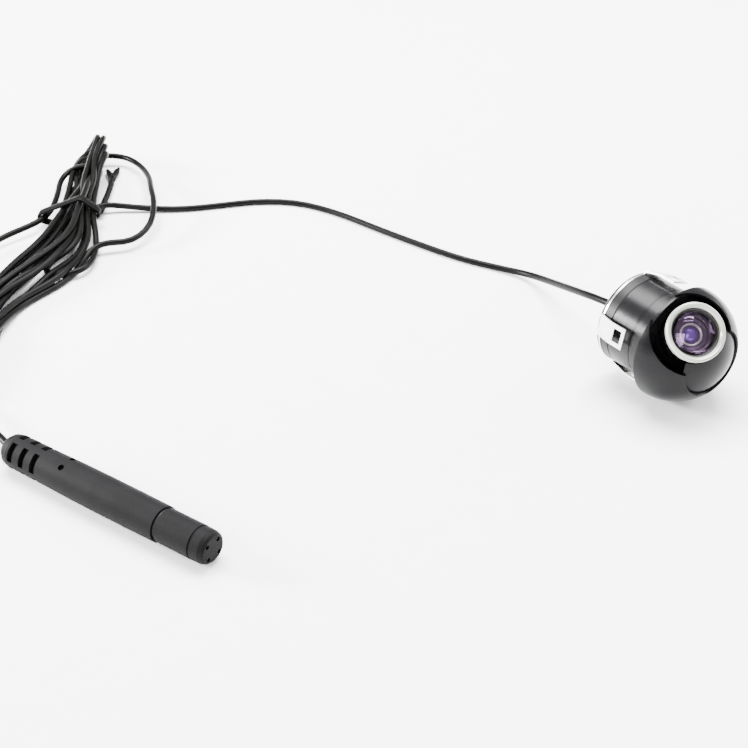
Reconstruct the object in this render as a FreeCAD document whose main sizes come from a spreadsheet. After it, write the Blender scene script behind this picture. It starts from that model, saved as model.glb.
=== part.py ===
import FreeCAD, Part
import math
import os
import re
import Sketcher

# Flush-mount eyeball reversing camera with its lead, tied hank and in-line connector.
#
# Row frame: Z up, origin on the floor under the middle of the camera unit.  The barrel lies
# along Y with the head at -Y and the lead leaving at +Y.  Lengths in mm, angles in degrees.
#
# Each round piece is turned about its own local Y axis.  Its outline is a list of corners
# (radius, station), where the station is measured along that axis from the head's centre, or
# from the connector's cord end.  Outlines are written as spreadsheet expressions.

V = FreeCAD.Vector
X, Y, Z = V(1, 0, 0), V(0, 1, 0), V(0, 0, 1)

DOC = FreeCAD.newDocument("backup_camera")

DIMENSIONS = {
    # head and its opening
    "head_radius": 14.0,
    "dome_wall": 0.5,
    "shoulder": -0.3,
    "flange_thick": 0.6,
    "front_opening_angle": 37.0,
    "lens_opening_angle": 43.0,
    "tilt": 48.4,
    "roll": 29.4,
    "centre_forward": 2.75,
    # swivel joint between head and barrel
    "carrier_radius": 10.1,
    "carrier_wall": 0.6,
    "carrier_end": 5.6,
    "running_gap": 0.05,
    "face_gap": 0.1,
    "seat_inner": 11.6,
    "seat_relief": 0.1,
    "swivel_step": 4.5,
    "swivel_ring": 0.6,
    "seal_start": 2.0,
    "seal_width": 0.9,
    "seal_depth": 0.6,
    # barrel and rear end
    "barrel_radius": 11.3,
    "barrel_wall": 0.45,
    "score_line": 4.0,
    "score_width": 0.2,
    "score_depth": 0.12,
    "seam": 10.8,
    "seam_gap": 0.3,
    "rear_face": 13.4,
    "back_wall": 1.2,
    "ledge": 10.6,
    "board_thick": 1.0,
    "cap_start": 13.8,
    "cap_end": 14.9,
    "cap_neck": 8.95,
    "gland_radius": 2.0,
    "gland_end": 20.0,
    # spring clip
    "clip_thick": 0.4,
    "clip_radius": 11.45,
    "upper_tab_angle": 50.0,
    "lower_tab_angle": 45.0,
    "tab_thick": 0.35,
    "tab_width": 5.2,
    "tab_root": 11.8,
    "tab_rise": 12.75,
    "tab_slope": 4.4,
    "tab_flat": 4.4,
    "window_length": 2.4,
    "window_width": 3.2,
    "window_margin": 0.9,
    # eyeball and lens
    "ball_radius": 9.0,
    "ball_wall": 0.8,
    "tube_radius": 6.15,
    "tube_bore": 5.6,
    "tube_end": 12.4,
    "shield_radius": 13.3,
    "shield_wall": 0.55,
    "shield_angle": 39.5,
    "shield_cutout_angle": 31.0,
    "pin_radius": 0.7,
    "pin_end": 10.05,
    "washer_radius": 1.6,
    "washer_thick": 0.28,
    "bezel_radius": 6.8,
    "bezel_front": 14.3,
    "holder_front": 12.2,
    "holder_ledge": 11.45,
    "front_lens_radius": 5.1,
    "front_lens_apex": 13.4,
    "inner_bore": 2.6,
    "inner_glass_radius": 2.15,
    "middle_lens_back": 8.4,
    "stop_start": 8.0,
    "stop_thick": 0.3,
    "spacer_start": 7.1,
    "holder_step": 7.0,
    "rear_lens_back": 5.1,
    "rear_lens_apex": 6.6,
    "filter_start": 4.15,
    "filter_thick": 0.4,
    "holder_start": 4.0,
    "holder_throat": 2.2,
    "sensor_height": 0.8,
    "sensor_board_start": 1.8,
    "sensor_board_thick": 0.8,
    "back_cut": 3.0,
    # cord, tie and connector
    "cord_diameter": 1.8,
    "hank_height": 8.6,
    "tie_width": 3.0,
    "tie_wall": 0.6,
    "tie_span": 18.0,
    "plug_radius": 4.1,
    "plug_length": 58.4,
    "relief_end": 14.2,
    "relief_pitch": 3.45,
    "relief_first_slot": 4.0,
    "relief_slot_width": 1.5,
    "relief_core": 2.45,
    "dimple_radius": 0.7,
    "dimple_depth": 0.9,
    "dimple_station": 18.2,
    "plug_step": 45.2,
    "plug_groove": 0.6,
    "nose_radius": 3.75,
    "nose_ring": 54.6,
    "socket_circle": 2.25,
    "socket_radius": 0.5,
    "socket_depth": 8.0,
}


def make_sheet():
    """Put the driving dimensions in a spreadsheet whose aliases the expressions use."""
    sheet = DOC.addObject("Spreadsheet::Sheet", "dims")
    for row, (alias, value) in enumerate(DIMENSIONS.items(), start=1):
        sheet.set(f"A{row}", alias.replace("_", " "))
        sheet.set(f"B{row}", str(value))
        sheet.setAlias(f"B{row}", alias)
    DOC.recompute()
    return sheet


SHEET = make_sheet()
NODES = []


def size(alias):
    """Read one driving dimension."""
    return float(SHEET.get(alias))


def linked(text):
    """Name the spreadsheet in front of each alias of an expression."""
    return re.sub(r"[a-z_]+(?!\()\b", r"dims.\g<0>", str(text))


def number(text):
    """Work an expression out to a plain number."""
    value = SHEET.evalExpression(linked(text))
    return float(getattr(value, "Value", value))


def node(shape_object, label, placement):
    """Give a finished sub-part its name and its place in the row frame."""
    shape_object.Label = label
    shape_object.Placement = placement
    NODES.append(shape_object)
    return shape_object


# ---------------------------------------------------------------- frames of the sub-parts

HEAD_CENTRE = V(0, -size("centre_forward"), size("head_radius"))
TURN_TO_Y = FreeCAD.Rotation(X, -90)
LENS_TURN = FreeCAD.Rotation(X, 180 - size("tilt"))

IN_BARREL = FreeCAD.Placement(HEAD_CENTRE, FreeCAD.Rotation())
IN_HEAD = FreeCAD.Placement(HEAD_CENTRE, FreeCAD.Rotation(Y, -size("roll")))
IN_LENS = IN_HEAD * FreeCAD.Placement(V(), LENS_TURN)

CONNECTOR_REAR = V(-138.68, 60.66, size("plug_radius"))
CONNECTOR_NOSE = V(-118.6, 5.85, size("plug_radius"))
IN_CONNECTOR = FreeCAD.Placement(CONNECTOR_REAR, FreeCAD.Rotation(Y, CONNECTOR_NOSE - CONNECTOR_REAR))


# ---------------------------------------------------------------- building helpers

def origin_feature(body, role):
    """Find one of a body's own origin planes by its role."""
    return next(item for item in body.Origin.OriginFeatures if item.Role == role)


def hold_corner(sketch, line, axis_code, kind, text):
    """Fix one coordinate of a line's start point, on the axis itself where it is zero."""
    if number(text) == 0:
        sketch.addConstraint(Sketcher.Constraint("PointOnObject", line, 1, axis_code))
        return
    index = sketch.addConstraint(Sketcher.Constraint(kind, -1, 1, line, 1, number(text)))
    sketch.setExpression(f"Constraints[{index}]", linked(text))


def turned(label, outline, placement):
    """Revolve a closed outline of (radius, station) corners about the body's Y axis."""
    body = DOC.addObject("PartDesign::Body", label)
    sketch = body.newObject("Sketcher::SketchObject", label + "_outline")
    sketch.AttachmentSupport = [(origin_feature(body, "XY_Plane"), "")]
    sketch.MapMode = "FlatFace"
    corners = [V(number(radius), number(station), 0) for radius, station in outline]
    count = len(corners)
    for index in range(count):
        sketch.addGeometry(Part.LineSegment(corners[index], corners[(index + 1) % count]), False)
    for index in range(count):
        sketch.addConstraint(Sketcher.Constraint("Coincident", index, 2, (index + 1) % count, 1))
    for index, (radius, station) in enumerate(outline):
        hold_corner(sketch, index, -2, "DistanceX", radius)
        hold_corner(sketch, index, -1, "DistanceY", station)
    revolution = body.newObject("PartDesign::Revolution", label + "_turned")
    revolution.Profile = sketch
    revolution.ReferenceAxis = (sketch, ["V_Axis"])
    revolution.Angle = 360
    body.Tip = revolution
    return node(body, label, placement)


def primitive(kind, name, placement=FreeCAD.Placement(), **sizes):
    """Add a Part primitive and bind its sizes to the spreadsheet."""
    shape_object = DOC.addObject("Part::" + kind, name)
    for key, text in sizes.items():
        shape_object.setExpression(key, linked(text))
    shape_object.Placement = placement
    return shape_object


def about_y(angle):
    """Placement that turns a piece about its local Y axis."""
    return FreeCAD.Placement(V(), FreeCAD.Rotation(Y, angle))


def cylinder(name, radius, start, length, placement=FreeCAD.Placement()):
    """Add a cylinder along Y from the given station."""
    along = FreeCAD.Placement(V(0, number(start), 0), TURN_TO_Y)
    return primitive("Cylinder", name, placement * along, Radius=radius, Height=length)


def block(name, sizes, centre, rotation=FreeCAD.Rotation()):
    """Add a box by its three sizes and its centre."""
    numbers = [number(text) for text in sizes]
    corner = FreeCAD.Placement(V(*numbers) * -0.5, FreeCAD.Rotation())
    place = FreeCAD.Placement(V(*centre), rotation) * corner
    length, width, height = sizes
    return primitive("Box", name, place, Length=length, Width=width, Height=height)


def joined(name, shapes):
    """Fuse several objects into one."""
    fusion = DOC.addObject("Part::MultiFuse", name)
    fusion.Shapes = shapes
    return fusion


def cut(name, base, tools):
    """Cut one or more tool objects out of a base object."""
    result = DOC.addObject("Part::Cut", name)
    result.Base = base
    result.Tool = tools[0] if len(tools) == 1 else joined(name + "_tools", tools)
    return result


def common(name, base, tool):
    """Keep only what two objects share."""
    result = DOC.addObject("Part::Common", name)
    result.Base = base
    result.Tool = tool
    return result


def group(name, shapes):
    """Keep several separate solids together in one object."""
    result = DOC.addObject("Part::Compound", name)
    result.Links = shapes
    return result


def ring(label, inner, outer, start, end, placement):
    """Turn a plain ring between two radii and two stations."""
    return turned(label, [(inner, start), (outer, start), (outer, end), (inner, end)], placement)


def disc(label, radius, start, end, placement):
    """Turn a plain disc between two stations."""
    return ring(label, "0", radius, start, end, placement)


# ---------------------------------------------------------------- barrel and rear end

def barrel_sleeve():
    """Front tube of the barrel, bored for the head's carrier and its seal."""
    front = "shoulder + face_gap"
    bore = "carrier_radius + running_gap"
    groove = "carrier_radius + running_gap + seal_depth"
    wide_bore = "barrel_radius - barrel_wall"
    score = "barrel_radius - score_depth"
    turned("barrel_sleeve", [
        ("barrel_radius", front),
        ("barrel_radius", "score_line"),
        (score, "score_line"),
        (score, "score_line + score_width"),
        ("barrel_radius", "score_line + score_width"),
        ("barrel_radius", "seam"),
        (wide_bore, "seam"),
        (wide_bore, "swivel_step"),
        (bore, "swivel_step"),
        (bore, "seal_start + seal_width"),
        (groove, "seal_start + seal_width"),
        (groove, "seal_start"),
        (bore, "seal_start"),
        (bore, front),
    ], IN_BARREL)


def swivel_seal():
    """O-ring that keeps water out of the swivel and gives it its drag."""
    torus = primitive(
        "Torus", "swivel_seal_ring",
        Radius1="carrier_radius + running_gap + seal_depth / 2",
        Radius2="seal_depth / 2 - 0.02")
    torus.Placement = FreeCAD.Placement(V(0, number("seal_start + seal_width / 2"), 0), TURN_TO_Y)
    node(group("swivel_seal", [torus]), "swivel_seal", IN_BARREL)


def rear_housing():
    """Rear section of the barrel: threaded spigot, board ledge and back wall."""
    spigot = "barrel_radius - barrel_wall - running_gap"
    pocket = "barrel_radius - 1.7"
    narrow = "barrel_radius - 2.5"
    turned("rear_housing", [
        ("gland_radius - 0.4", "rear_face - back_wall"),
        (narrow, "rear_face - back_wall"),
        (narrow, "ledge"),
        (pocket, "ledge"),
        (pocket, "seam - 3.8"),
        (spigot, "seam - 3.8"),
        (spigot, "seam + seam_gap"),
        ("barrel_radius", "seam + seam_gap"),
        ("barrel_radius", "rear_face"),
        ("gland_radius - 0.4", "rear_face"),
    ], IN_BARREL)


def housing_seal():
    """Flat seal in the seam between sleeve and rear housing."""
    ring("housing_seal", "barrel_radius - barrel_wall + 0.02", "barrel_radius - 0.2",
         "seam + 0.02", "seam + seam_gap - 0.02", IN_BARREL)


def main_board():
    """Round circuit board on the ledge, with its chip and lead socket as separate pieces."""
    disc("main_board", "barrel_radius - 1.8", "ledge - board_thick", "ledge", IN_BARREL)
    chip = block("main_chip_box", ("6", "1", "6"), (-2.2, size("ledge") + 0.5, 1.0))
    node(group("main_chip", [chip]), "main_chip", IN_BARREL)
    socket = block("lead_socket_box", ("4", "1.4", "2.8"), (4.2, size("ledge") + 0.7, -3.4))
    node(group("lead_socket", [socket]), "lead_socket", IN_BARREL)


def rear_cap():
    """Back cover whose neck centres the spring clip and passes the gland."""
    turned("rear_cap", [
        ("gland_radius", "rear_face"),
        ("cap_neck", "rear_face"),
        ("cap_neck", "cap_start"),
        ("barrel_radius - 0.15", "cap_start"),
        ("barrel_radius - 0.15", "cap_end - 0.35"),
        ("barrel_radius - 0.5", "cap_end"),
        ("gland_radius", "cap_end"),
    ], IN_BARREL)


def cord_gland():
    """Moulded strain relief that grips the lead where it leaves the rear cap."""
    stem = "gland_radius - 0.45"
    body = "gland_radius - 0.05"
    turned("cord_gland", [
        ("0", "rear_face - back_wall"),
        (stem, "rear_face - back_wall"),
        (stem, "rear_face"),
        (body, "rear_face"),
        (body, "cap_end"),
        ("gland_radius + 0.7", "cap_end"),
        ("gland_radius + 0.6", "cap_end + 0.9"),
        ("gland_radius - 0.2", "cap_end + 1.3"),
        ("cord_diameter / 2 + 0.35", "gland_end"),
        ("0", "gland_end"),
    ], IN_BARREL)


# ---------------------------------------------------------------- spring clip

def tab_turns():
    """Turns from the barrel's +Z to the four tabs, a pair above and a pair below the lens."""
    above, below = -size("roll"), 180 - size("roll")
    upper, lower = size("upper_tab_angle"), size("lower_tab_angle")
    return [above - upper, above + upper, below - lower, below + lower]


def clip_ring():
    """Stamped washer behind the rear housing with a lug towards each tab's root."""
    middle = number("rear_face + clip_thick / 2")
    lug_height = "tab_root - tab_thick / 2 - running_gap - cap_neck"
    shapes = [cylinder("clip_washer", "clip_radius", "rear_face", "clip_thick")]
    for angle in tab_turns():
        lug = block("clip_lug", ("tab_width", "clip_thick", lug_height),
                    (0, middle, number("cap_neck + (" + lug_height + ") / 2")))
        lug.Placement = about_y(angle) * lug.Placement
        shapes.append(lug)
    hole = cylinder("clip_hole", "cap_neck + running_gap", "rear_face - 1", "clip_thick + 2")
    node(cut("clip_ring", joined("clip_blank", shapes), [hole]), "clip_ring", IN_BARREL)


def clip_tab(index, angle):
    """Spring tab: a round root, a slope outward to the knee and a windowed flat to its tip."""
    root_turn = FreeCAD.Placement(V(-size("tab_width") / 2, 0, 0), FreeCAD.Rotation(Y, 90))
    root = primitive("Cylinder", "tab_root_bend", root_turn, Radius="tab_thick / 2", Height="tab_width")
    rise = number("tab_rise - tab_root")
    slope_angle = math.degrees(math.asin(rise / size("tab_slope")))
    reach = math.sqrt(size("tab_slope") ** 2 - rise ** 2)
    slope = block("tab_slope_sheet", ("tab_width", "tab_slope", "tab_thick"), (0, -reach / 2, rise / 2),
                  FreeCAD.Rotation(X, -slope_angle))
    knee_turn = FreeCAD.Placement(V(-size("tab_width") / 2, -reach, rise), FreeCAD.Rotation(Y, 90))
    knee = primitive("Cylinder", "tab_knee_bend", knee_turn, Radius="tab_thick / 2", Height="tab_width")
    flat = block("tab_flat_sheet", ("tab_width", "tab_flat", "tab_thick"),
                 (0, -reach - size("tab_flat") / 2, rise))
    window_middle = number("tab_flat - window_margin - window_length / 2")
    window = block("tab_window", ("window_width", "window_length", "tab_thick + 1"),
                   (0, -reach - window_middle, rise))
    sheet = joined("tab_sheet", [root, slope, knee, flat])
    hinge = FreeCAD.Placement(V(0, number("rear_face + clip_thick / 2"), size("tab_root")),
                              FreeCAD.Rotation())
    name = f"clip_tab_{index}"
    node(cut(name, sheet, [window]), name, IN_BARREL * about_y(angle) * hinge)


# ---------------------------------------------------------------- head

def cone_to(name, half_angle, rotation):
    """Add a cone from the head's centre, opening along +Y before its rotation."""
    height = "head_radius + 4"
    place = FreeCAD.Placement(V(), rotation) * FreeCAD.Placement(V(), TURN_TO_Y)
    cone = primitive("Cone", name, place, Height=height)
    cone.Radius1 = 0
    cone.setExpression("Radius2", f"(dims.head_radius + 4) * tan(dims.{half_angle} * 1deg)")
    return cone


def head_dome():
    """Thin shell, a little less than half a ball, with the keyhole that the lens swings in."""
    ball = primitive("Sphere", "dome_ball", Radius="head_radius")
    behind = block("dome_behind", ("3 * head_radius", "head_radius + 6", "3 * head_radius"),
                   (0, number("shoulder + (head_radius + 6) / 2"), 0))
    inside = primitive("Sphere", "dome_inside", Radius="head_radius - dome_wall")
    front = cone_to("dome_front_opening", "front_opening_angle", FreeCAD.Rotation(X, 180))
    lens = cone_to("dome_lens_opening", "lens_opening_angle", LENS_TURN)
    node(cut("head_dome", ball, [behind, inside, front, lens]), "head_dome", IN_HEAD)


def swivel_carrier():
    """Flanged tube behind the dome that turns in the barrel and holds the tilt pins.

    The flange's back is relieved around the tube, so that only its rim seats on the panel.
    """
    disc_blank = cylinder("carrier_disc", "head_radius - dome_wall - 0.07", "shoulder - flange_thick",
                          "flange_thick")
    relief = cylinder("seat_relief_cut", "seat_inner", "shoulder - seat_relief", "1")
    flange = cut("carrier_flange", disc_blank, [relief])
    tube = cylinder("carrier_tube", "carrier_radius", "shoulder - flange_thick",
                    "carrier_end - shoulder + flange_thick")
    bore = cylinder("carrier_bore", "carrier_radius - carrier_wall", "-3", "carrier_end + 6")
    across = FreeCAD.Placement(V(-number("head_radius"), 0, 0), FreeCAD.Rotation(Y, 90))
    pin_hole = primitive("Cylinder", "carrier_pin_hole", across, Radius="pin_radius",
                         Height="2 * head_radius")
    lens_path = cylinder("carrier_lens_clearance", "tube_radius + 0.25", "0", "head_radius",
                         FreeCAD.Placement(V(), LENS_TURN))
    blank = joined("carrier_blank", [flange, tube])
    node(cut("swivel_carrier", blank, [bore, pin_hole, lens_path]), "swivel_carrier", IN_HEAD)


def swivel_retainer():
    """Ring on the carrier's tail that keeps the head in the barrel."""
    ring("swivel_retainer", "carrier_radius", "carrier_radius + swivel_ring",
         "swivel_step + face_gap", "swivel_step + face_gap + 0.8", IN_HEAD)


def tilt_pins():
    """Two short pins that the eyeball tilts on, and their friction washers."""
    washers = []
    for side, name in ((-1, "left"), (1, "right")):
        turn = FreeCAD.Rotation(Y, 90 * side)
        inner_end = number("ball_radius - ball_wall + 0.1")
        start = FreeCAD.Placement(V(side * inner_end, 0, 0), turn)
        pin = primitive("Cylinder", f"pin_{name}", start, Radius="pin_radius",
                        Height="pin_end - ball_radius + ball_wall - 0.1")
        node(group(f"tilt_pin_{name}", [pin]), f"tilt_pin_{name}", IN_HEAD)
        washer_start = FreeCAD.Placement(V(side * number("ball_radius + 0.04"), 0, 0), turn)
        outside = primitive("Cylinder", f"washer_{name}", washer_start, Radius="washer_radius",
                            Height="washer_thick")
        inside = primitive("Cylinder", f"washer_{name}_hole", washer_start, Radius="pin_radius",
                           Height="1")
        washers.append(cut(f"washer_{name}_ring", outside, [inside]))
    node(group("tilt_washers", washers), "tilt_washers", IN_HEAD)


# ---------------------------------------------------------------- eyeball

def shield_shell():
    """Spherical shield below the lens that fills the front opening of the dome."""
    outer = primitive("Sphere", "shield_outer", Radius="shield_radius")
    inner = primitive("Sphere", "shield_inner", Radius="shield_radius - shield_wall")
    shell = cut("shield_shell", outer, [inner])
    patch = common("shield_patch", shell, cone_to("shield_limit", "shield_angle", FreeCAD.Rotation(X, 180)))
    return cut("shield", patch, [cone_to("shield_cutout", "shield_cutout_angle", LENS_TURN)])


def eyeball_body():
    """Hollow ball with the lens tube, the shield and the web that carries it."""
    in_lens = FreeCAD.Placement(V(), LENS_TURN)
    poles_in_line = in_lens * FreeCAD.Placement(V(), TURN_TO_Y * FreeCAD.Rotation(Z, 45))
    ball = primitive("Sphere", "ball_outer", poles_in_line, Radius="ball_radius")
    tube = cylinder("lens_tube_outer", "tube_radius", "4", "tube_end - 4", in_lens)
    hollow = primitive("Sphere", "ball_inner", poles_in_line, Radius="ball_radius - ball_wall")
    bore = cylinder("lens_tube_bore", "tube_bore", "0", "tube_end + 1", in_lens)
    behind = block("ball_behind", ("30", "20", "30"), (0, 0, 0))
    behind.Placement = in_lens * FreeCAD.Placement(V(0, -number("back_cut + 10"), 0),
                                                   FreeCAD.Rotation()) * behind.Placement
    across = FreeCAD.Placement(V(-12, 0, 0), FreeCAD.Rotation(Y, 90))
    pin_hole = primitive("Cylinder", "ball_pin_hole", across, Radius="pin_radius + running_gap",
                         Height="24")
    shell = cut("ball_shell", joined("ball_blank", [ball, tube]), [hollow, bore, behind, pin_hole])
    web_turn = FreeCAD.Rotation(X, 18)
    web_middle = number("(ball_radius + shield_radius - shield_wall) / 2")
    web = block("shield_web", ("3", "shield_radius - shield_wall - ball_radius + 0.4", "4.6"),
                tuple(web_turn.multVec(V(0, -web_middle, 0))), web_turn)
    node(joined("eyeball_body", [shell, web, shield_shell()]), "eyeball_body", IN_HEAD)


def eyeball_back_cover():
    """Cover behind the ball with the hole that the inner lead passes through."""
    turned("eyeball_back_cover", [
        ("2", "-back_cut - 0.6"),
        ("ball_radius - 0.85", "-back_cut - 0.6"),
        ("ball_radius - 0.65", "-back_cut"),
        ("ball_radius - 1.5", "-back_cut"),
        ("ball_radius - 1.5", "-back_cut + 0.9"),
        ("2", "-back_cut + 0.9"),
    ], IN_LENS)


def lens_bezel():
    """Bright ring on the end of the lens tube, with a rolled rim and a chamfered mouth."""
    turned("lens_bezel", [
        ("tube_bore", "tube_end"),
        ("tube_radius", "tube_end"),
        ("tube_radius", "tube_end + 0.35"),
        ("bezel_radius", "tube_end + 0.55"),
        ("bezel_radius", "bezel_front - 0.4"),
        ("bezel_radius - 0.15", "bezel_front - 0.1"),
        ("bezel_radius - 0.4", "bezel_front"),
        ("bezel_radius - 0.6", "bezel_front - 0.05"),
        ("bezel_radius - 0.75", "bezel_front - 0.15"),
        ("tube_bore + 0.3", "bezel_front - 0.2"),
        ("tube_bore", "bezel_front - 0.6"),
    ], IN_LENS)


def lens_holder():
    """Threaded lens barrel: a pocket for the front glass over a stepped black baffle."""
    holder = "tube_bore - 0.05"
    pocket = "front_lens_radius + 0.05"
    ledge = "holder_ledge"
    turned("lens_holder", [
        (holder, "holder_start"),
        (holder, "holder_front"),
        (pocket, "holder_front"),
        (pocket, ledge),
        ("4.4", ledge),
        ("3.75", ledge + " - 0.4"),
        ("3.75", ledge + " - 0.7"),
        ("3.4", ledge + " - 0.7"),
        ("3.4", ledge + " - 1.0"),
        ("3.05", ledge + " - 1.0"),
        ("3.05", ledge + " - 1.3"),
        ("inner_bore", ledge + " - 1.3"),
        ("inner_bore", "holder_step"),
        ("holder_throat", "holder_step"),
        ("holder_throat", "holder_start"),
    ], IN_LENS)


def lens_rings():
    """Rings that hold the glasses, the stop behind the middle one and the tube's seal."""
    holder = "tube_bore - 0.05"
    pocket = "front_lens_radius + 0.05"
    turned("retaining_ring", [
        (pocket, "holder_front"),
        (holder, "holder_front"),
        (holder, "holder_front + 0.7"),
        ("tube_bore - 0.15", "holder_front + 0.7"),
        ("front_lens_radius - 0.2", "holder_front + 0.05"),
    ], IN_LENS)
    turned("inner_ring", [
        ("2.3", "holder_ledge - 1.9"),
        ("inner_bore - 0.02", "holder_ledge - 1.9"),
        ("inner_bore - 0.02", "holder_ledge - 1.1"),
        ("2.4", "holder_ledge - 1.0"),
        ("2.2", "holder_ledge - 1.1"),
    ], IN_LENS)
    ring("iris_stop", "inner_glass_radius / 2", "inner_bore - 0.05", "stop_start",
         "stop_start + stop_thick", IN_LENS)
    ring("lens_spacer", "2.3", "inner_bore - 0.05", "spacer_start", "stop_start - 0.1", IN_LENS)
    disc("ir_filter", "holder_throat - 0.1", "filter_start", "filter_start + filter_thick", IN_LENS)
    torus = primitive("Torus", "tube_seal_ring", Radius1="tube_bore - 0.2", Radius2="0.18")
    torus.Placement = FreeCAD.Placement(V(0, number("holder_front + 0.9"), 0), TURN_TO_Y)
    node(group("window_seal", [torus]), "window_seal", IN_LENS)


def ball_behind(name, apex, curve):
    """Sphere of the given radius whose front touches a station on the lens axis."""
    centre = FreeCAD.Placement(V(0, number(f"{apex} - ({curve})"), 0), TURN_TO_Y)
    return primitive("Sphere", name, centre, Radius=curve)


def domed_blank(name, radius, back, apex, rim_drop):
    """Disc between two stations, its front rounded off by a sphere through its apex and rim."""
    curve = f"(({radius}) ^ 2 + {rim_drop} ^ 2) / (2 * {rim_drop})"
    edge = cylinder(name + "_edge", radius, back, f"{apex} - ({back})")
    return common(name, edge, ball_behind(name + "_curve", apex, curve))


def lenses():
    """Meniscus front glass and the two domed glasses behind it."""
    blank = domed_blank("front_lens_blank", "front_lens_radius", "holder_ledge", "front_lens_apex", "1.5")
    hollow = ball_behind("front_lens_hollow", "front_lens_apex - 1", "7.5")
    node(cut("front_lens", blank, [hollow]), "front_lens", IN_LENS)
    middle = domed_blank("middle_lens", "inner_glass_radius", "middle_lens_back", "holder_ledge - 0.7", "1.3")
    node(middle, "middle_lens", IN_LENS)
    rear = domed_blank("rear_lens", "inner_glass_radius", "rear_lens_back", "rear_lens_apex", "0.8")
    node(rear, "rear_lens", IN_LENS)


def sensor():
    """Sensor board across the ball and the image sensor on it."""
    front = "sensor_board_start + sensor_board_thick"
    disc("sensor_board", "ball_radius - ball_wall - 0.5", "sensor_board_start", front, IN_LENS)
    chip = block("image_sensor_box", ("5.2", "sensor_height", "4.6"),
                 (0, number(front + " + sensor_height / 2"), 0))
    node(group("image_sensor", [chip]), "image_sensor", IN_LENS)


# ---------------------------------------------------------------- connector

RELIEF_SLOT_TURN = 54
DIMPLE_TURN = 25
KEYWAY_TURN = 195


def connector_relief():
    """Strain relief at the connector's cord end with three slots on each of four sides."""
    blank = turned_blank("relief_blank", [
        ("0", "0"),
        ("plug_radius - 1.35", "0"),
        ("plug_radius - 0.5", "1.2"),
        ("plug_radius - 0.2", "2.6"),
        ("plug_radius - 0.15", "relief_end"),
        ("0", "relief_end"),
    ])
    slots = []
    depth = number("plug_radius - relief_core + 0.75")
    for row in range(3):
        for side in range(4):
            station = size("relief_first_slot") + row * size("relief_pitch")
            slot = block("relief_slot", ("plug_radius + 0.2", "relief_slot_width", str(depth)),
                         (0, station, size("relief_core") + depth / 2))
            slot.Placement = about_y(RELIEF_SLOT_TURN + 90 * side) * slot.Placement
            slots.append(slot)
    node(cut("connector_relief", blank, slots), "connector_relief", IN_CONNECTOR)


def connector_body():
    """Moulded grip of the connector, slightly barrelled, with two dimples on its top."""
    blank = turned_blank("grip_blank", [
        ("0", "relief_end"),
        ("plug_radius - 0.15", "relief_end"),
        ("plug_radius - 0.03", "relief_end + 6"),
        ("plug_radius", "relief_end + 14"),
        ("plug_radius - 0.03", "plug_step - 8"),
        ("plug_radius - 0.12", "plug_step"),
        ("0", "plug_step"),
    ])
    dimples = []
    for turn in (-DIMPLE_TURN, DIMPLE_TURN):
        place = FreeCAD.Placement(V(0, size("dimple_station"), number("plug_radius - dimple_depth")),
                                  FreeCAD.Rotation())
        dimples.append(primitive("Cylinder", "grip_dimple", about_y(turn) * place,
                                 Radius="dimple_radius", Height="2 * dimple_depth"))
    node(cut("connector_body", blank, dimples), "connector_body", IN_CONNECTOR)


def turned_blank(name, outline):
    """Turn an outline that is only a step towards a sub-part."""
    body = turned(name, outline, FreeCAD.Placement())
    NODES.remove(body)
    return body


def socket_places():
    """Places of the four sockets around the connector's axis."""
    places = []
    for index in range(4):
        angle = math.radians(45 + 90 * index)
        reach = size("socket_circle")
        places.append((reach * math.cos(angle), reach * math.sin(angle)))
    return places


def connector_nose():
    """Nose with four sockets and a keyway, which enters the mating half."""
    start = "plug_step + plug_groove"
    blank = turned_blank("nose_blank", [
        ("0", start),
        ("nose_radius", start),
        ("nose_radius", "nose_ring"),
        ("nose_radius - 0.2", "nose_ring"),
        ("nose_radius - 0.2", "nose_ring + 0.5"),
        ("nose_radius - 0.05", "nose_ring + 0.5"),
        ("nose_radius - 0.1", "plug_length - 1.3"),
        ("nose_radius - 0.35", "plug_length - 0.5"),
        ("nose_radius - 0.85", "plug_length"),
        ("0", "plug_length"),
    ])
    tools = []
    for across, up in socket_places():
        place = FreeCAD.Placement(V(across, 0, up), FreeCAD.Rotation())
        tools.append(cylinder("nose_socket", "socket_radius", "plug_length - socket_depth",
                              "socket_depth + 1", place))
    keyway = block("nose_keyway", ("1.2", "7", "1.8"), (0, size("plug_length") - 3, size("nose_radius")))
    keyway.Placement = about_y(KEYWAY_TURN) * keyway.Placement
    tools.append(keyway)
    node(cut("connector_nose", blank, tools), "connector_nose", IN_CONNECTOR)


def connector_contacts():
    """Four sleeve contacts, one in each socket of the nose."""
    sleeves = []
    for across, up in socket_places():
        place = FreeCAD.Placement(V(across, 0, up), FreeCAD.Rotation())
        outside = cylinder("contact_outside", "socket_radius", "plug_length - socket_depth",
                           "socket_depth - 0.5", place)
        inside = cylinder("contact_inside", "socket_radius - 0.15", "plug_length - socket_depth + 1",
                          "socket_depth", place)
        sleeves.append(cut("contact_sleeve", outside, [inside]))
    node(group("contact_sleeves", sleeves), "contact_sleeves", IN_CONNECTOR)


def connector_seal():
    """Seal ring in the groove between grip and nose."""
    disc("connector_seal", "nose_radius - 0.4", "plug_step", "plug_step + plug_groove", IN_CONNECTOR)


# ---------------------------------------------------------------- cord, hank and tie

FLOOR_HEIGHT = size("cord_diameter") / 2

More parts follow.
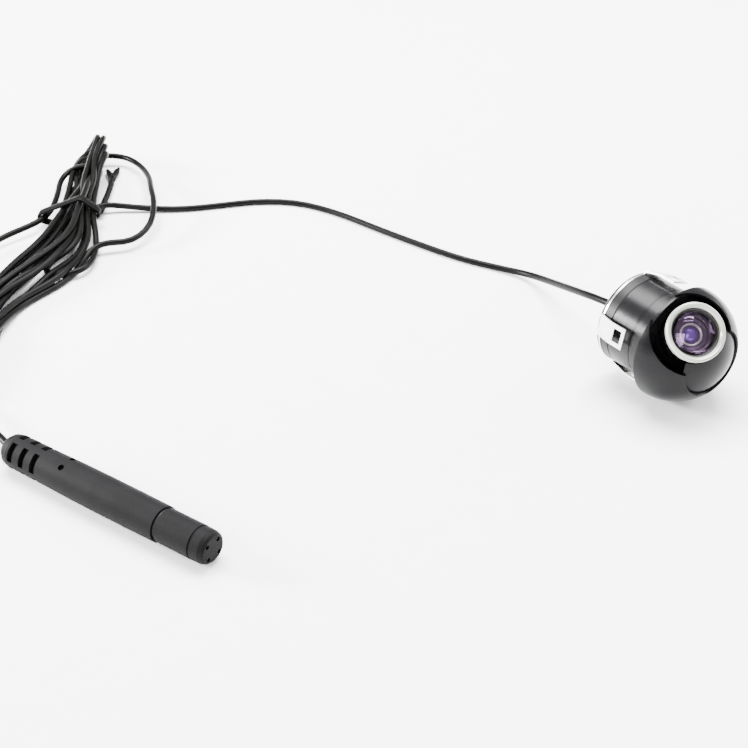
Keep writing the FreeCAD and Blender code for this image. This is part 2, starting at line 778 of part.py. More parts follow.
LEAD_ROUTE = [
    V(0.0, 17.25, 14.0), V(-0.2, 23.0, 13.4), V(1.4, 31.0, 11.0), V(5.2, 43.6, 6.4),
    V(8.8, 57.0, 1.8), V(5.3, 66.2, FLOOR_HEIGHT), V(-0.4, 76.9, FLOOR_HEIGHT),
    V(-4.6, 90.5, FLOOR_HEIGHT), V(-8.6, 104.8, FLOOR_HEIGHT), V(-12.2, 120.2, FLOOR_HEIGHT),
    V(-18.0, 133.6, FLOOR_HEIGHT), V(-27.5, 141.6, FLOOR_HEIGHT), V(-39.1, 145.9, FLOOR_HEIGHT),
    V(-50.3, 150.3, FLOOR_HEIGHT), V(-60.5, 158.0, 1.3), V(-68.2, 163.2, 2.6),
]
LOOP_ROUTE = [
    V(-56.5, 196.5, 3.6), V(-48.6, 192.0, 3.0), V(-47.6, 182.0, 3.2), V(-50.5, 169.5, 4.4),
    V(-54.8, 160.0, 5.7), V(-58.5, 150.0, 5.7), V(-64.8, 140.0, 4.0), V(-73.0, 136.0, 2.8),
    V(-80.0, 139.5, 3.2),
]
TAIL_ROUTE = [
    V(-141.0, 89.5, 3.0), V(-137.0, 80.5, 2.4), V(-139.6, 71.0, 3.4), CONNECTOR_REAR,
]
HANK_OUTLINE = [
    V(-51, 208, 0), V(-55, 192, 0), V(-65, 172, 0), V(-77, 154, 0), V(-82, 139, 0),
    V(-91, 127, 0), V(-108, 115, 0), V(-125, 104, 0), V(-142, 88, 0), V(-151, 92, 0),
    V(-145, 110, 0), V(-125, 131, 0), V(-102, 149, 0), V(-87, 164, 0), V(-74, 184, 0),
    V(-60, 204, 0),
]


def rounded_path(route):
    """Join straight runs by tangent arcs, each as large as its two runs allow."""
    edges = []
    radii = []
    last = route[0]
    for before, corner, after in zip(route, route[1:], route[2:]):
        incoming = (corner - before).normalize()
        outgoing = (after - corner).normalize()
        setback = 0.45 * min((corner - before).Length, (after - corner).Length)
        start = corner - incoming * setback
        end = corner + outgoing * setback
        half_turn = incoming.getAngle(outgoing) / 2
        radius = setback / math.tan(half_turn)
        inward = (outgoing - incoming).normalize()
        middle = corner + inward * (radius / math.cos(half_turn) - radius)
        edges.append(Part.LineSegment(last, start).toShape())
        edges.append(Part.Arc(start, middle, end).toShape())
        radii.append(radius)
        last = end
    edges.append(Part.LineSegment(last, route[-1]).toShape())
    return Part.Wire(edges), radii


def cord_tube(label, route):
    """Sweep the cord's round section along one uncoiled stretch of its route."""
    path, radii = rounded_path(route)
    radius = size("cord_diameter") / 2
    section = Part.Wire(Part.makeCircle(radius, route[0], route[1] - route[0]))
    tube = path.makePipeShell([section], True, False)
    expected = math.pi * radius ** 2 * path.Length
    print(f"{label}: length {path.Length:.1f}, volume ratio {tube.Volume / expected:.4f},",
          "arc radii", " ".join(f"{value:.0f}" for value in radii))
    stretch = DOC.addObject("Part::Feature", label)
    stretch.Shape = tube
    node(stretch, label, FreeCAD.Placement())


def cord_hank():
    """Closed solid of the tied hank's outer shape."""
    outline = Part.BSplineCurve()
    outline.interpolate(HANK_OUTLINE, True)
    footprint = Part.Face(Part.Wire(outline.toShape()))
    hank = DOC.addObject("Part::Feature", "cord_hank")
    hank.Shape = footprint.extrude(V(0, 0, size("hank_height")))
    return node(hank, "cord_hank", FreeCAD.Placement())


def hank_tie(hank):
    """Twist tie across the hank: a strap over its top and down both sides."""
    height = "hank_height + tie_wall"
    strap = block("tie_strap", ("tie_span", "tie_width", height),
                  (-82.6, 158.5, number(height) / 2), FreeCAD.Rotation(Z, -42))
    node(cut("hank_tie", strap, [hank]), "hank_tie", FreeCAD.Placement())


# ---------------------------------------------------------------- assembly and export

def build():
    """Make every sub-part."""
    barrel_sleeve()
    swivel_seal()
    rear_housing()
    housing_seal()
    main_board()
    rear_cap()
    cord_gland()
    clip_ring()
    for index, angle in enumerate(tab_turns(), start=1):
        clip_tab(index, angle)
    head_dome()
    swivel_carrier()
    swivel_retainer()
    tilt_pins()
    eyeball_body()
    eyeball_back_cover()
    lens_bezel()
    lens_holder()
    lens_rings()
    lenses()
    sensor()
    connector_relief()
    connector_body()
    connector_seal()
    connector_nose()
    connector_contacts()
    cord_tube("cord_lead", LEAD_ROUTE)
    cord_tube("cord_loop", LOOP_ROUTE)
    cord_tube("cord_tail", TAIL_ROUTE)
    hank_tie(cord_hank())


def check():
    """Stop if any object failed or any sub-part is empty or invalid."""
    for item in DOC.Objects:
        if "Invalid" in item.State or "Error" in item.State:
            raise RuntimeError(f"{item.Label} did not compute: {item.State}")
    for item in NODES:
        if item.Shape.isNull() or not item.Shape.isValid() or item.Shape.Volume <= 0:
            raise RuntimeError(f"{item.Label} has no valid solid")


def export():
    """Write one STEP file for each sub-part."""
    os.makedirs("parts", exist_ok=True)
    for item in NODES:
        item.Shape.exportStep(f"parts/{item.Label}.step")
        box = item.Shape.BoundBox
        print(f"{item.Label}: {len(item.Shape.Solids)} solid(s), {item.Shape.Volume:.1f} mm3,",
              f"y {box.YMin:.2f} to {box.YMax:.2f}, z {box.ZMin:.2f} to {box.ZMax:.2f}")


build()
DOC.recompute()
check()
export()
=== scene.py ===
"""Looks of the flush-mount eyeball camera: materials, the lead with its tied hank, and the stage.

The row frame is Z up, with the floor at zero, the barrel along Y and the head at -Y.
Lengths are in metres; MM turns the millimetres that the design is drawn in into metres.
"""
import bpy
import math
import numpy as np
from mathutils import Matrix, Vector


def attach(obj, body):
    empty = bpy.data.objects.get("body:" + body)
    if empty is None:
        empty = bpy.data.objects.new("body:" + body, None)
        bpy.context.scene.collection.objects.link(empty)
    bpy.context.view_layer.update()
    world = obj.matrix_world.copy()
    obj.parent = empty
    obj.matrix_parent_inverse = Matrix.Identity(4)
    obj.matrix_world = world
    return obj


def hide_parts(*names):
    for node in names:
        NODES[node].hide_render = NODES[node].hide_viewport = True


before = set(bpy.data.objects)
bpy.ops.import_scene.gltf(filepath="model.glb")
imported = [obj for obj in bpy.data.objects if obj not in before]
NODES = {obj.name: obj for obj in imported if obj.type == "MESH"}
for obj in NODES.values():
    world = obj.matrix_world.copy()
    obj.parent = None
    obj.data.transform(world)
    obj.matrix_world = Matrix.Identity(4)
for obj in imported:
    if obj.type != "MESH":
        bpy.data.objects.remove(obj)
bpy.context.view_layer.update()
MM = 0.001


def mm(*values):
    """A point given in millimetres."""
    return Vector(values) * MM


# ---------------------------------------------------------------- camera

VIEW_AZIMUTH = math.radians(-35.1)
VIEW_ELEVATION = math.radians(33.55)
VIEW_TARGET = mm(-53.3, 43.8, 0)
VIEW_DISTANCE = 304.5 * MM
VIEW_LENS = 60


def make_camera():
    """Look down on the floor past the camera unit, from its front left."""
    back = Vector((math.sin(VIEW_AZIMUTH) * math.cos(VIEW_ELEVATION),
                   -math.cos(VIEW_AZIMUTH) * math.cos(VIEW_ELEVATION),
                   math.sin(VIEW_ELEVATION)))
    data = bpy.data.cameras.new("view")
    data.lens = VIEW_LENS
    data.sensor_width = 36
    data.clip_start = 0.01
    data.clip_end = 20
    camera = bpy.data.objects.new("view", data)
    bpy.context.collection.objects.link(camera)
    camera.location = VIEW_TARGET + back * VIEW_DISTANCE
    camera.rotation_mode = "QUATERNION"
    camera.rotation_quaternion = (-back).to_track_quat("-Z", "Y")
    bpy.context.scene.camera = camera


# ---------------------------------------------------------------- material helpers

def shader(name):
    """Start a node material; gives the material, its tree and its Principled shader."""
    material = bpy.data.materials.new(name)
    material.use_nodes = True
    tree = material.node_tree
    return material, tree, tree.nodes["Principled BSDF"]


def texture(tree, kind, scale, stretch=(1, 1, 1), **settings):
    """Add a texture on the object's own coordinates, stretched along its axes."""
    place = tree.nodes.new("ShaderNodeTexCoord")
    mapping = tree.nodes.new("ShaderNodeMapping")
    mapping.inputs["Scale"].default_value = stretch
    tree.links.new(place.outputs["Object"], mapping.inputs["Vector"])
    node = tree.nodes.new(kind)
    node.inputs["Scale"].default_value = scale
    for key, value in settings.items():
        node.inputs[key].default_value = value
    tree.links.new(mapping.outputs["Vector"], node.inputs["Vector"])
    return node


def shade_between(tree, factor, low, high, start=0.3, stop=0.7):
    """Turn a texture's value into a colour between two colours."""
    ramp = tree.nodes.new("ShaderNodeValToRGB")
    ramp.color_ramp.elements[0].position = start
    ramp.color_ramp.elements[0].color = (*low, 1)
    ramp.color_ramp.elements[1].position = stop
    ramp.color_ramp.elements[1].color = (*high, 1)
    tree.links.new(factor, ramp.inputs["Fac"])
    return ramp.outputs["Color"]


def value_between(tree, factor, low, high):
    """Turn a texture's value into a number between two numbers."""
    spread = tree.nodes.new("ShaderNodeMapRange")
    spread.inputs["To Min"].default_value = low
    spread.inputs["To Max"].default_value = high
    tree.links.new(factor, spread.inputs["Value"])
    return spread.outputs["Result"]


def relief(tree, principled, height, depth):
    """Raise the surface by a texture."""
    bump = tree.nodes.new("ShaderNodeBump")
    bump.inputs["Distance"].default_value = depth
    tree.links.new(height, bump.inputs["Height"])
    tree.links.new(bump.outputs["Normal"], principled.inputs["Normal"])


def surface(name, low, high, rough, metallic=0.0, grain=900, grain_depth=0.00001,
            stretch=(1, 1, 1), gloss=0.5):
    """A finish with uneven colour and roughness and a fine grain."""
    material, tree, principled = shader(name)
    principled.inputs["Metallic"].default_value = metallic
    principled.inputs["Specular IOR Level"].default_value = gloss
    patches = texture(tree, "ShaderNodeTexNoise", 160, Detail=4)
    tree.links.new(shade_between(tree, patches.outputs["Fac"], low, high), principled.inputs["Base Color"])
    fine = texture(tree, "ShaderNodeTexNoise", grain, stretch, Detail=3)
    tree.links.new(value_between(tree, fine.outputs["Fac"], *rough), principled.inputs["Roughness"])
    relief(tree, principled, fine.outputs["Fac"], grain_depth)
    return material


def dress(names, material):
    """Give CAD nodes a material, in place of whatever slots they came with."""
    for name in names:
        data = NODES[name].data
        data.materials.clear()
        data.materials.append(material)


# ---------------------------------------------------------------- materials of the CAD nodes

LATHE_LINES = (0.02, 1, 0.02)


def dress_metal():
    """Black anodised barrel, dome and ball, steel clip and silver bezel."""
    barrel = surface("black_barrel", (0.003, 0.003, 0.0035), (0.005, 0.005, 0.0055), (0.2, 0.3), 0.0,
                     9000, 0.000012, LATHE_LINES, 0.16)
    dress(["barrel_sleeve", "swivel_carrier"], barrel)
    rear = surface("black_rear", (0.004, 0.004, 0.0045), (0.008, 0.008, 0.0085), (0.3, 0.46), 0.0,
                   5000, 0.00003, LATHE_LINES, 0.18)
    dress(["rear_housing", "rear_cap"], rear)
    dome = surface("black_dome", (0.002, 0.002, 0.0025), (0.0035, 0.0035, 0.004), (0.2, 0.28), 0.0,
                   4000, 0.000003, gloss=0.1)
    dress(["head_dome", "eyeball_body", "eyeball_back_cover"], dome)
    steel = surface("clip_steel", (0.68, 0.68, 0.66), (0.82, 0.82, 0.8), (0.2, 0.34), 1.0,
                    6000, 0.000006, (1, 0.05, 1))
    dress(["clip_ring", "swivel_retainer", "tilt_pin_left", "tilt_pin_right", "tilt_washers"]
          + [f"clip_tab_{index + 1}" for index in range(4)], steel)
    bezel = surface("bezel_silver", (0.44, 0.45, 0.39), (0.54, 0.55, 0.5), (0.26, 0.36), 0.6,
                    5000, 0.000004)
    dress(["lens_bezel", "inner_ring"], bezel)
    brass = surface("brass", (0.6, 0.42, 0.18), (0.8, 0.6, 0.3), (0.2, 0.35), 1.0, 4000, 0.000005)
    dress(["contact_sleeves", "iris_stop"], brass)


def coated_glass(name, tint, base, clear, rough=0.02):
    """Lens glass with a coloured anti-reflection coating, and painted shade that darkens its colour toward
    grazing view angles in place of the coating's reflection.
    """
    material, tree, principled = shader(name)
    principled.inputs["Transmission Weight"].default_value = clear
    principled.inputs["IOR"].default_value = 1.6
    principled.inputs["Specular Tint"].default_value = (*tint, 1)
    principled.inputs["Specular IOR Level"].default_value = 0.22
    dust = texture(tree, "ShaderNodeTexNoise", 1500, Detail=2)
    tree.links.new(value_between(tree, dust.outputs["Fac"], rough * 0.5, rough * 1.5),
                   principled.inputs["Roughness"])
    # Painted shade: the glass's colour falls to 0.35 of itself toward grazing view angles, standing in for
    # the coating's reflection.
    facing = tree.nodes.new("ShaderNodeLayerWeight")
    facing.inputs["Blend"].default_value = 0.35
    painted_grazing_shade = tuple(part * 0.35 for part in base)
    tree.links.new(shade_between(tree, facing.outputs["Facing"], base, painted_grazing_shade, 0.0, 0.8),
                   principled.inputs["Base Color"])
    return material


def dress_optics():
    """Glasses, lens holder, sensor and boards."""
    dress(["front_lens"], coated_glass("coated_glass", (0.85, 0.55, 1.0), (0.9, 0.84, 0.92), 1.0))
    inner = coated_glass("inner_glass", (0.6, 0.3, 1.0), (0.16, 0.08, 0.42), 0.35, 0.05)
    inner.node_tree.nodes["Principled BSDF"].inputs["Metallic"].default_value = 0.5
    dress(["middle_lens", "rear_lens", "ir_filter"], inner)
    black = surface("lens_black", (0.004, 0.004, 0.003), (0.009, 0.008, 0.006), (0.35, 0.5), 0.0,
                    5000, 0.000006, gloss=0.15)
    dress(["lens_holder", "retaining_ring", "lens_spacer"], black)
    board = surface("board_green", (0.012, 0.09, 0.035), (0.02, 0.13, 0.05), (0.3, 0.4), 0.0, 800, 0.00001)
    dress(["main_board", "sensor_board"], board)
    chip = surface("chip_black", (0.012, 0.012, 0.013), (0.02, 0.02, 0.022), (0.4, 0.55))
    dress(["main_chip", "image_sensor"], chip)
    dress(["lead_socket"], surface("socket_white", (0.6, 0.58, 0.52), (0.72, 0.7, 0.64), (0.4, 0.5)))


def dress_rubber():
    """Seals, gland and the connector's mouldings."""
    seal = surface("seal_rubber", (0.006, 0.006, 0.006), (0.012, 0.012, 0.012), (0.5, 0.7))
    dress(["swivel_seal", "housing_seal", "window_seal", "connector_seal"], seal)
    dress(["cord_gland"], surface("gland_rubber", (0.002, 0.002, 0.002), (0.004, 0.004, 0.004), (0.45, 0.6),
                                  0.0, 3000, 0.00001, gloss=0.08))
    moulding = surface("connector_rubber", (0.002, 0.002, 0.0022), (0.0038, 0.0038, 0.0043), (0.58, 0.72),
                       0.0, 3500, 0.000022, gloss=0.07)
    dress(["connector_relief", "connector_body", "connector_nose"], moulding)


# ---------------------------------------------------------------- lead and hank

CORD_DIAMETER = 1.8 * MM
FLOOR_HEIGHT = 0.9

LEAD_ROUTE = [
    (0.0, 17.25, 14.0), (-0.2, 23.0, 13.4), (1.4, 31.0, 11.0), (5.2, 43.6, 6.4),
    (8.8, 57.0, 1.8), (5.3, 66.2, FLOOR_HEIGHT), (-0.4, 76.9, FLOOR_HEIGHT),
    (-4.6, 90.5, FLOOR_HEIGHT), (-8.6, 104.8, FLOOR_HEIGHT), (-12.2, 120.2, FLOOR_HEIGHT),
    (-18.0, 133.6, FLOOR_HEIGHT), (-27.5, 141.6, FLOOR_HEIGHT), (-39.1, 145.9, FLOOR_HEIGHT),
    (-50.3, 150.3, FLOOR_HEIGHT), (-60.5, 158.0, 1.3), (-68.2, 163.2, 2.6),
]
LOOP_ROUTE = [
    (-56.5, 196.5, 3.6), (-48.6, 192.0, 3.0), (-47.6, 182.0, 3.2), (-50.5, 169.5, 4.4),
    (-54.8, 160.0, 5.7), (-58.5, 150.0, 5.7), (-64.8, 140.0, 4.0), (-73.0, 136.0, 2.8),
    (-80.0, 139.5, 3.2),
]
TAIL_ROUTE = [
    (-141.0, 89.5, 3.0), (-137.0, 80.5, 2.4), (-139.6, 71.0, 3.4), (-138.68, 60.66, 4.1),
]
# Middle line of the hank from its tip to its far end, one point to a station.
HANK_STATIONS = [
    (-52.5, 204.0), (-60.5, 189.0), (-70.5, 173.5), (-80.0, 160.0), (-89.0, 148.0),
    (-101.0, 135.5), (-115.0, 123.5), (-130.0, 110.0), (-144.0, 96.5),
]
TIE_STATION = 3
# Each pass of the cord along the hank: its first and last station, how far it lies to the right
# of the middle line at the offset stations, and its height at the height stations.
OFFSET_STATIONS = (1.0, 2.0, 3.0, 4.2, 5.0, 6.0, 7.4)
HEIGHT_STATIONS = (1.0, 3.0, 5.0, 7.0)
PASSES_BEFORE_LOOP = [
    (2.9, 7.3, (2, 2, 3.0, 7.0, 3.0, 0.5, 6), (2.6, 2.6, 1.5, 0.9)),
    (7.3, 1.3, (-3.2, -3.5, -4.6, -3.5, -4.5, -6, -6), (0.9, 0.9, 0.9, 0.9)),
    (1.3, 7.5, (1.5, 1.0, -2.8, -4.5, -7.5, -7.5, 3.5), (8.0, 6.0, 4.5, 2)),
    (7.5, 1.6, (-2.8, -2.6, -2.8, -1.8, -3.0, -5.0, -8), (0.9, 0.9, 0.9, 0.9)),
    (1.6, 4.2, (2.2, 2.5, 5.5, 11.0, 11, 11, 11), (8.0, 5.0, 0.9, 0.9)),
    (4.1, 1.1, (-3.8, -3.0, -0.9, 2.5, 0, 0, 0), (0.9, 0.9, 0.9, 0.9)),
    (1.1, 7.2, (0.8, 1.0, 1.6, 5.6, 1.0, -4.5, 7), (8.4, 6.0, 4.5, 3)),
    (7.2, 1.9, (-4.6, -8.4, -7.4, -20.5, -23, -17, -5), (3.0, 3.5, 2.0, 0.9)),
    (1.9, 7.4, (3.0, 2.5, 2.7, 1.6, -1.5, -2.0, 3), (7.0, 4.4, 4.0, 3)),
    (7.4, 1.4, (-3.6, -2.4, -1.2, -3.2, -6.0, -8.0, -6), (2.5, 4.2, 2.5, 2)),
    (1.4, 7.4, (2.4, 2.0, 2.2, 3.4, -1.5, -6.0, 3), (7.5, 7.4, 6.0, 3)),
    (7.4, 0.95, (-5.6, -5.2, -4.2, -5.6, -8.5, -9.0, -8), (3.6, 3.2, 2.5, 2)),
]
PASSES_AFTER_LOOP = [
    (4.4, 7.5, (4, 4, 4, 9.5, 8.2, 1.5, 4.0), (2, 2, 1.2, 2)),
    (7.5, 1.2, (-2.8, -2.4, 1.6, 5.0, 2.0, -3.0, -7), (2.6, 5.6, 5.0, 3)),
    (1.2, 7.5, (1.6, 2.2, 3.8, 8.8, 8.0, 1.0, 3), (8.6, 5.5, 2.5, 2)),
]
PASS_STRIDE = 0.4
FOLD_RADIUS = 7.6
FOLD_STEPS = 9
ROUTE_OVERRUN = 3.0
# Settling of the hank: the step between points, the strands' spacing and the bend they resist.
STEP = 1.3
# Points to either side over which a bend is judged.
SPAN = 3
STRAND_SPACING = 1.86
STIFF_RADIUS = 7.0
SETTLE_ROUNDS = 200
# Shares of each fault that one round of settling mends, and how far a round lets the cord sink.
PART_SHARE = 0.35
EVEN_SHARE = 0.2
RETURN_SHARE = 0.07
LONG_BEND_SHARE = 0.02
SHARP_BEND_SHARE = 0.22
SHORT_BEND_SHARE = 0.15
EASE_SHARE = 0.5
SINK = 0.01
# Extra reach of the search for near strands, which is only made every few rounds.
SEARCH_MARGIN = 2.5
REPEAT_ROUNDS = 70
PAIR_ROUNDS = 8
EASE_ROUNDS = 12
LAST_EASE_ROUNDS = 9
# Points left out next to each route, so that the cord runs into it without a kink.
RUN_IN = 4


def between(stations, values, station):
    """Value at a station, easing from each given value to the next."""
    for first, last, low, high in zip(stations, stations[1:], values, values[1:]):
        if station <= last:
            share = max(0.0, (station - first) / (last - first))
            return low + (high - low) * share * share * (3 - 2 * share)
    return values[-1]


def hank_frame(station):
    """Point, direction to the right and direction along the hank's middle line at a station."""
    line = np.array(HANK_STATIONS)
    last = len(line) - 1
    first = max(0, min(int(station), last - 1))
    point = line[first] + (line[first + 1] - line[first]) * (station - first)
    near = max(0, min(last, round(station)))
    along = line[min(last, near + 1)] - line[max(0, near - 1)]
    along = along / np.linalg.norm(along)
    return point, np.array((-along[1], along[0])), along


def pass_points(first, last, offsets, heights):
    """Points of one pass along the hank, ends included."""
    count = math.ceil(abs(last - first) / PASS_STRIDE)
    points = []
    for station in np.linspace(first, last, count + 1):
        point, right, _ = hank_frame(station)
        place = point + right * between(OFFSET_STATIONS, offsets, station)
        points.append(np.array((*place, between(HEIGHT_STATIONS, heights, station))))
    return points


def fold_points(start, end, outward):
    """Round turn from one pass to the next, wider than their gap where they lie close."""
    half = (start - end) / 2
    reach = np.linalg.norm(half)
    across = half / reach
    outward = outward - across * np.dot(outward, across)
    outward = outward / np.linalg.norm(outward)
    radius = max(reach, FOLD_RADIUS)
    middle = (start + end) / 2 + outward * (math.sqrt(radius ** 2 - reach ** 2) * 1.5)
    sweep = math.pi - math.asin(reach / radius) if radius > reach else math.pi / 2
    return [middle + (outward * math.cos(turn) - across * math.sin(turn)) * radius
            for turn in np.linspace(-sweep, sweep, FOLD_STEPS)]


def rounded(points, rounds=3):
    """Cut a path's corners, again and again."""
    points = np.array(points, float)
    for _ in range(rounds):
        inner = np.empty((2 * (len(points) - 1), 3))
        inner[0::2] = points[:-1] * 0.75 + points[1:] * 0.25
        inner[1::2] = points[:-1] * 0.25 + points[1:] * 0.75
        points = np.vstack([points[:1], inner, points[-1:]])
    return points


def evened(points, step):
    """Points one step apart along a path."""
    gaps = np.linalg.norm(np.diff(points, axis=0), axis=1)
    run = np.concatenate([[0], np.cumsum(gaps)])
    marks = np.linspace(0, run[-1], round(run[-1] / step) + 1)
    return np.stack([np.interp(marks, run, points[:, axis]) for axis in range(3)], 1)


def overrun(before, end):
    """Point a little beyond a route's end, in line with its last stretch."""
    before, end = np.array(before), np.array(end)
    return end + (end - before) / np.linalg.norm(end - before) * ROUTE_OVERRUN


def hank_run(before, passes, after):
    """Points from the end of one route, through some passes and folds, to the next route."""
    points = [np.array(before[-1]), overrun(before[-2], before[-1])]
    fold_from = None
    for first, last, offsets, heights in passes:
        run = pass_points(first, last, offsets, heights)
        if fold_from is not None:
            _, _, along = hank_frame(first)
            outward = np.array((*along, 0)) * (1 if first > TIE_STATION else -1)
            points += fold_points(fold_from, run[0], outward)
        points += run
        fold_from = run[-1]
    points += [overrun(after[1], after[0]), np.array(after[0])]
    return evened(rounded(points, 1), STEP)


def near_pairs(points, reach):
    """Pairs of points on different strands that lie near each other."""
    first, second = np.triu_indices(len(points), 2 * SPAN)
    close = np.linalg.norm(points[second] - points[first], axis=1) < reach
    return first[close], second[close]


def pushed_apart(points, first, second):
    """Moves that part the pairs that are nearer than two strands can lie."""
    apart = points[second] - points[first]
    reach = np.maximum(np.linalg.norm(apart, axis=1), 1e-6)
    push = apart * (np.clip(STRAND_SPACING - reach, 0, None) * PART_SHARE / reach)[:, None]
    move = np.zeros_like(points)
    np.add.at(move, first, -push)
    np.add.at(move, second, push)
    return move


def straightened(points, span, share, sharp_share):
    """Moves that open bends, the sharp ones most."""
    bow = (points[:-2 * span] + points[2 * span:]) / 2 - points[span:-span]
    sharp = np.linalg.norm(bow, axis=1) > (span * STEP) ** 2 / 2 / STIFF_RADIUS
    bow *= np.where(sharp, sharp_share, share)[:, None]
    move = np.zeros_like(points)
    move[span:-span] += bow
    move[:-2 * span] -= bow / 2
    move[2 * span:] -= bow / 2
    return move


def kept_even(points):
    """Moves that keep the points one step apart."""
    side = np.diff(points, axis=0)
    length = np.linalg.norm(side, axis=1, keepdims=True)
    slip = side * (length - STEP) / length * EVEN_SHARE
    move = np.zeros_like(points)
    move[:-1] += slip
    move[1:] -= slip
    return move


def settled(points, loose, rounds):
    """Let the loose points of the cord part, straighten and sink until the strands only touch."""
    start = points.copy()
    free = loose[:, None].astype(float)
    for turn in range(rounds):
        if turn % PAIR_ROUNDS == 0:
            first, second = near_pairs(points, STRAND_SPACING + SEARCH_MARGIN)
        move = pushed_apart(points, first, second) + kept_even(points)
        move += (straightened(points, SPAN, LONG_BEND_SHARE, SHARP_BEND_SHARE)
                 + straightened(points, 1, SHORT_BEND_SHARE, SHORT_BEND_SHARE))
        move += (start - points) * RETURN_SHARE
        move[:, 2] -= SINK
        points = points + free * move
        points[:, 2] = np.maximum(points[:, 2], FLOOR_HEIGHT)
    return points


def eased(points, loose, rounds):
    """Take the last small kinks out of the loose points."""
    free = loose[1:-1, None].astype(float)
    for _ in range(rounds):
        bow = (points[:-2] + points[2:]) / 2 - points[1:-1]
        points[1:-1] += free * bow * EASE_SHARE
    points[:, 2] = np.maximum(points[:, 2], FLOOR_HEIGHT)
    return points


def cord_points():
    """All the cord's points: lead, hank with its loose loop, and tail."""
    runs = [hank_run(LEAD_ROUTE, PASSES_BEFORE_LOOP, LOOP_ROUTE),
            hank_run(LOOP_ROUTE, PASSES_AFTER_LOOP, TAIL_ROUTE)]
    routes = [evened(rounded(route), STEP) for route in (LEAD_ROUTE, LOOP_ROUTE, TAIL_ROUTE)]
    parts = [routes[0][:-1], runs[0], routes[1][1:-1], runs[1], routes[2][1:]]
    starts = np.cumsum([0] + [len(part) for part in parts])
    loose = np.zeros(starts[-1], bool)
    for index in (1, 3):
        loose[starts[index] + 2:starts[index + 1] - 2] = True
    points = settled(np.vstack(parts), loose, SETTLE_ROUNDS)
    points = settled(eased(points, loose, EASE_ROUNDS), loose, REPEAT_ROUNDS)
    points = eased(points, loose, LAST_EASE_ROUNDS)
    before, after = (points[starts[index] + RUN_IN:starts[index + 1] - RUN_IN:2] for index in (1, 3))
    return [Vector(point) for point in
            np.vstack([LEAD_ROUTE, before, LOOP_ROUTE, after, TAIL_ROUTE])]


def spline_curve(name, points, bevel):
    """A round-section curve along one open NURBS spline."""
    data = bpy.data.curves.new(name, "CURVE")
    data.dimensions = "3D"
    spline = data.splines.new("NURBS")
    spline.points.add(len(points) - 1)
    for control, point in zip(spline.points, points):
        control.co = (*(point * MM), 1)
    spline.order_u = 3
    spline.use_endpoint_u = True
    spline.resolution_u = 3
    data.bevel_depth = bevel
    data.bevel_resolution = 5
    data.use_fill_caps = True
    piece = bpy.data.objects.new(name, data)
    bpy.context.collection.objects.link(piece)
    return piece


def line_length(piece):
    """Length of a curve's own line, read from the curve without its bevel."""
    data = piece.data.copy()
    data.bevel_depth = 0
    bare = bpy.data.objects.new("bare_line", data)
    mesh = bpy.data.meshes.new_from_object(bare)
    length = sum((mesh.vertices[a].co - mesh.vertices[b].co).length for a, b in
                 (painted_grazing_shade.vertices for painted_grazing_shade in mesh.edges))
    bpy.data.objects.remove(bare)
    return length


def make_cord(points):
    """The whole lead as one spline, in place of its CAD solids."""
    cord = spline_curve("lead", points, CORD_DIAMETER / 2)
    jacket = surface("cord_jacket", (0.0008, 0.0008, 0.0006), (0.002, 0.002, 0.0017), (0.3, 0.42), 0.0,
                     2500, 0.000012, gloss=0.07)
    cord.data.materials.append(jacket)
    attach(cord, "barrel")
    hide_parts("cord_lead", "cord_loop", "cord_hank", "cord_tail")
    return cord


# ---------------------------------------------------------------- twist tie

TIE_WIDTH = 3.4
TIE_THICK = 1.0
TIE_GAP = 0.15
TIE_STEP = 0.5
TIE_REACH = 12
BAND_STEPS = 60
TAIL_ROOT = [(-72.0, 159.5, 2.6), (-68.4, 165.3, 2.0), (-62.0, 174.7, 1.5), (-57.9, 181.6, 1.4)]
TAIL_PRONGS = [(-52.9, 187.5, 1.3), (-56.4, 188.6, 1.2)]
TAIL_TWIST = 0.5
TAIL_WIDTH = 1.9
# Steps at the end of a tail that lie straight, and the taper of its tip.
TAIL_STRAIGHT = 14
TIP_SHARE = 0.35
TIP_GROWTH = 0.12
SECTION_STEPS = 12


def strip(name, path, sides, widths):
    """Loft a flat oval section along a path, broad along the given side directions."""
    path = np.array(path)
    ahead = np.gradient(path, axis=0)
    ahead /= np.linalg.norm(ahead, axis=1, keepdims=True)
    vertices = []
    for point, along, side, width in zip(path, ahead, sides, widths):
        side = side - along * np.dot(side, along)
        side = side / np.linalg.norm(side)
        up = np.cross(along, side)
        for turn in np.linspace(0, 2 * math.pi, SECTION_STEPS, endpoint=False):
            across = math.copysign(abs(math.cos(turn)) ** 0.5, math.cos(turn)) * width / 2
            vertices.append(tuple((point + side * across + up * math.sin(turn) * TIE_THICK / 2) * MM))
    faces = []
    for ring in range(len(path) - 1):
        for step in range(SECTION_STEPS):
            after = (step + 1) % SECTION_STEPS
            faces.append((ring * SECTION_STEPS + step, ring * SECTION_STEPS + after,
                          (ring + 1) * SECTION_STEPS + after, (ring + 1) * SECTION_STEPS + step))
    faces.append(tuple(reversed(range(SECTION_STEPS))))
    faces.append(tuple(range((len(path) - 1) * SECTION_STEPS, len(path) * SECTION_STEPS)))
    mesh = bpy.data.meshes.new(name)
    mesh.from_pydata(vertices, [], faces)
    mesh.shade_smooth()
    piece = bpy.data.objects.new(name, mesh)
    bpy.context.collection.objects.link(piece)
    return piece


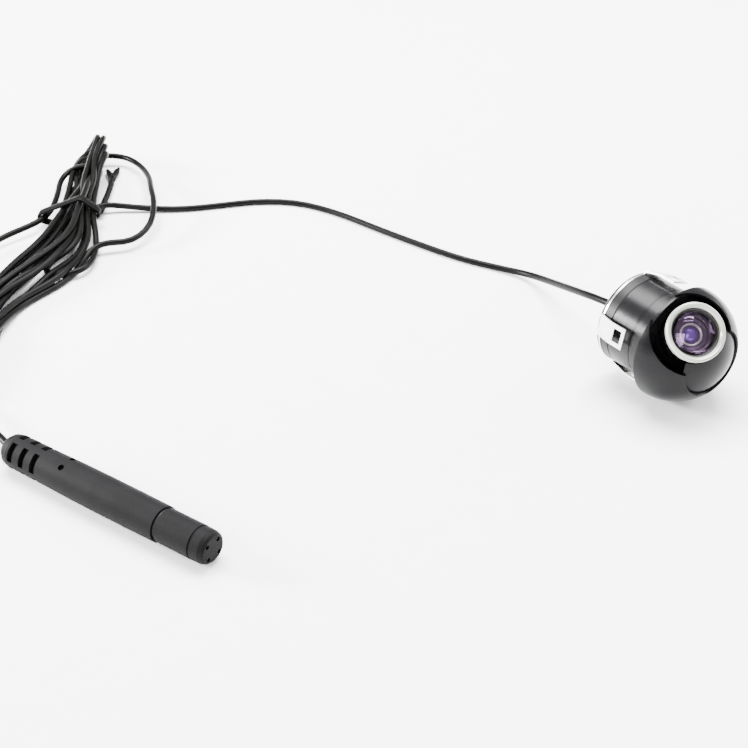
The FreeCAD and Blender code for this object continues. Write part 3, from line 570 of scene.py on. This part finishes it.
def tie_band(points):
    """Band drawn tight round all the strands that pass the tie."""
    middle, right, along = hank_frame(TIE_STATION)
    cord = rounded(points, 1)
    behind = (cord[:, :2] - middle) @ along
    near = (abs(behind) < STEP) & (np.linalg.norm(cord[:, :2] - middle, axis=1) < TIE_REACH)
    across, height = (cord[near][:, :2] - middle) @ right, cord[near][:, 2]
    reach = CORD_DIAMETER / MM / 2 + TIE_GAP + TIE_THICK / 2
    path = []
    for turn in np.linspace(0, 2 * math.pi, BAND_STEPS):
        outer = np.argmax(across * math.cos(turn) + height * math.sin(turn))
        place = middle + right * (across[outer] + math.cos(turn) * reach)
        path.append((*place, max(TIE_THICK / 2, height[outer] + math.sin(turn) * reach)))
    path = evened(rounded(path, 2), TIE_STEP)
    sides = [np.array((*along, 0))] * len(path)
    return strip("tie_band", path, sides, [TIE_WIDTH] * len(path))


def tie_prong(name, end, start_turn):
    """One end of the tie, twisted with the other and then bent away from it."""
    path = evened(rounded(TAIL_ROOT + [end], 3), TIE_STEP)
    sides = []
    for index in range(len(path)):
        turn = start_turn + min(index, len(path) - TAIL_STRAIGHT) * TAIL_TWIST
        sides.append(np.array((math.cos(turn) * 0.8, -math.cos(turn) * 0.5, math.sin(turn))))
    taper = [TAIL_WIDTH * min(1.0, TIP_SHARE + (len(path) - index) * TIP_GROWTH)
             for index in range(len(path))]
    return strip(name, path, sides, taper)


def make_tie(points):
    """Twist tie round the hank, in place of its CAD strap."""
    plastic = surface("tie_wrap", (0.0008, 0.0008, 0.0008), (0.002, 0.002, 0.002), (0.4, 0.55), 0.0,
                      2500, 0.00002, gloss=0.05)
    pieces = [tie_band(np.array(points)), tie_prong("tie_end_long", TAIL_PRONGS[0], 0.0),
              tie_prong("tie_end_short", TAIL_PRONGS[1], math.pi / 2)]
    for piece in pieces:
        piece.data.materials.append(plastic)
        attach(piece, "barrel")
    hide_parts("hank_tie")
    return pieces


# ---------------------------------------------------------------- stage

def make_floor():
    """Plain pale floor."""
    mesh = bpy.data.meshes.new("floor")
    reach = 6.0
    mesh.from_pydata([(-reach, -reach, 0), (reach, -reach, 0), (reach, reach, 0), (-reach, reach, 0)],
                     [], [(0, 1, 2, 3)])
    floor = bpy.data.objects.new("floor", mesh)
    bpy.context.collection.objects.link(floor)
    mesh.materials.append(surface("floor_white", (0.93, 0.93, 0.93), (0.95, 0.95, 0.95), (0.85, 0.9),
                                  gloss=0.1))


def area_light(name, place, aim, width, depth, power):
    """A soft rectangular light aimed at a point."""
    data = bpy.data.lights.new(name, "AREA")
    data.shape = "RECTANGLE"
    data.size = width
    data.size_y = depth
    data.energy = power
    light = bpy.data.objects.new(name, data)
    bpy.context.collection.objects.link(light)
    light.location = place
    light.rotation_mode = "QUATERNION"
    light.rotation_quaternion = (aim - light.location).to_track_quat("-Z", "Y")
    return light


def make_lights():
    """Soft studio light: a bright surround, a large top light and two side lights."""
    world = bpy.data.worlds.new("studio")
    world.use_nodes = True
    world.node_tree.nodes["Background"].inputs["Color"].default_value = (1, 1, 1, 1)
    world.node_tree.nodes["Background"].inputs["Strength"].default_value = 0.9
    bpy.context.scene.world = world
    middle = mm(-40, 60, 10)
    area_light("top_light", Vector((0.1, 0.3, 0.9)), middle, 0.9, 0.6, 62)
    area_light("right_light", Vector((0.7, -0.1, 0.45)), middle, 0.5, 0.5, 10)
    area_light("left_light", Vector((-0.8, -0.5, 0.5)), middle, 0.4, 0.7, 8)
    area_light("barrel_light", Vector((-0.54, 0.54, 0.22)), mm(0, 5, 14), 0.22, 0.14, 24)


make_camera()
make_floor()
make_lights()
dress_metal()
dress_optics()
dress_rubber()
CORD_LINE = cord_points()
CORD = make_cord(CORD_LINE)
TIE = make_tie(CORD_LINE)
line_length(CORD)
